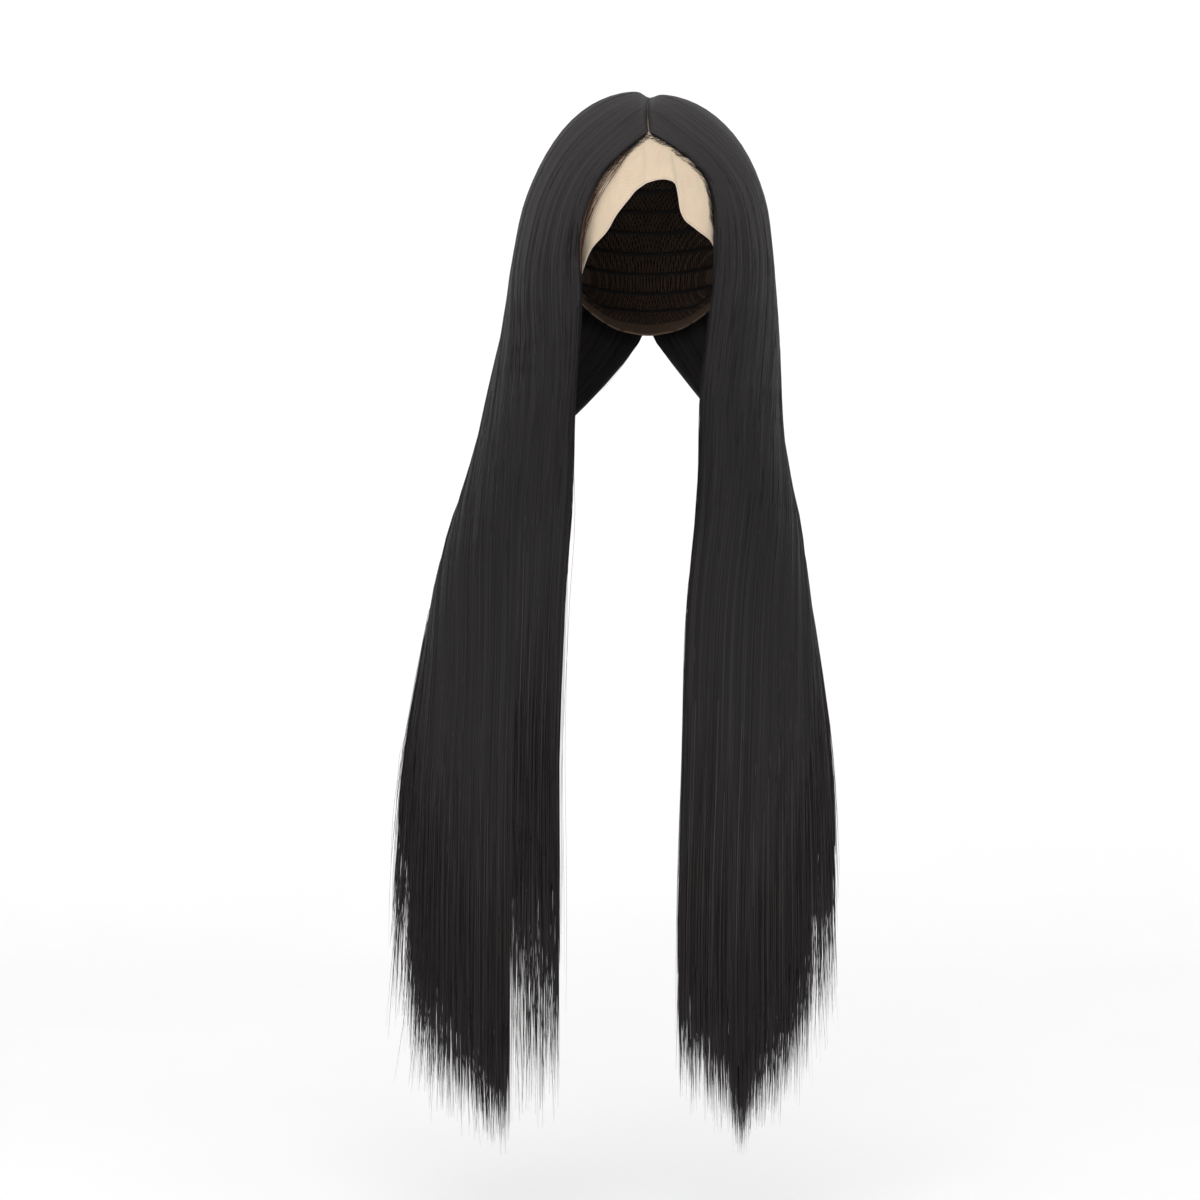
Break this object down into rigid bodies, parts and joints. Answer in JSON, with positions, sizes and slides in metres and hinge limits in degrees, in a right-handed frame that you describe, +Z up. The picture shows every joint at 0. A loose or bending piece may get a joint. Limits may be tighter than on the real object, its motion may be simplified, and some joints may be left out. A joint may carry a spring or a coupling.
{
  "type": "lace front wig",
  "caption": "Long straight black wig with a middle parting, an uncut lace front and hair drawn forward in two falls, held open as on a head.",
  "frame": {"origin": "top of the head's hollow, where the crown of a head meets the inside of the cap", "axes": "+Z up out of the crown, -Y towards the face, +X towards the right as seen from the front"},
  "size_m": [0.3291, 0.2312, 0.7779],
  "materials": {
    "hair": "silky black synthetic fibre",
    "lace": "fine beige lace",
    "net": "open beige-brown net",
    "band": "woven elastic tape"
  },
  "bodies": {
    "root": {"lace_front": "lace", "net_crown": "net", "edge_band": "band", "front_hair_left": "hair", "temple_hair_left": "hair", "side_hair_left": "hair", "rear_hair_left": "hair", "nape_hair_left": "hair", "front_hair_right": "hair", "temple_hair_right": "hair", "side_hair_right": "hair", "rear_hair_right": "hair", "nape_hair_right": "hair"}
  },
  "joints": []
}
